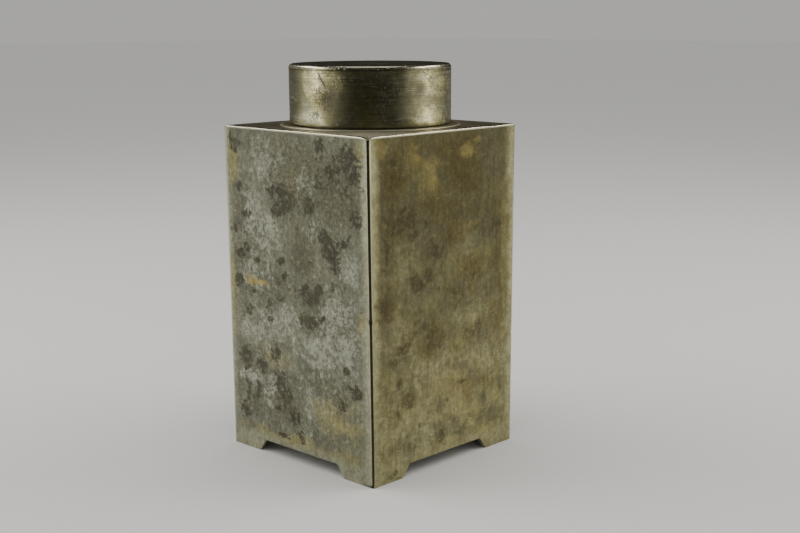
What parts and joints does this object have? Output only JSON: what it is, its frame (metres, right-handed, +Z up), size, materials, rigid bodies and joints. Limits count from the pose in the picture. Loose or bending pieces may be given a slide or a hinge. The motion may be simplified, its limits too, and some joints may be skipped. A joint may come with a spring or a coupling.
{
  "type": "tea caddy",
  "caption": "Square-sided pewter tea caddy with bracket feet, a low ring around its neck, a round slip-on lid and an inner lid with a knob.",
  "frame": {"origin": "centre of the standing surface, under the four feet", "axes": "+Z up through the middle of the lid; the side plates face -Y (front), +X (right), +Y (back) and -X (left)"},
  "size_m": [0.062, 0.062, 0.1185],
  "materials": {
    "body_pewter": "aged pewter, satin, brown and grey patina with brighter worn edges",
    "lid_pewter": "aged pewter, turned, fine horizontal lines, smoother than the body",
    "inner_pewter": "pewter, satin grey, clean inside",
    "solder": "soft tin solder, dull grey"
  },
  "bodies": {
    "caddy": {"side_plate_front": "body_pewter", "side_plate_right": "body_pewter", "side_plate_back": "body_pewter", "side_plate_left": "body_pewter", "top_plate": "body_pewter", "neck_flange": "body_pewter", "floor_plate": "inner_pewter", "neck": "inner_pewter", "floor_seam": "solder", "shoulder_seam": "solder", "neck_seam": "solder", "corner_seam_1": "solder", "corner_seam_2": "solder", "corner_seam_3": "solder", "corner_seam_4": "solder"},
    "inner_lid": {"inner_lid_disc": "inner_pewter", "inner_lid_skirt": "inner_pewter", "inner_lid_knob": "inner_pewter"},
    "lid": {"lid_band": "lid_pewter", "lid_top": "lid_pewter", "lid_seam": "solder"}
  },
  "joints": [
    {"name": "inner_lid_lift", "type": "slide", "parent": "caddy", "child": "inner_lid", "axis": [0, 0, 1], "range_m": [0, 0.03]},
    {"name": "lid_lift", "type": "slide", "parent": "inner_lid", "child": "lid", "axis": [0, 0, 1], "range_m": [0, 0.05]}
  ]
}
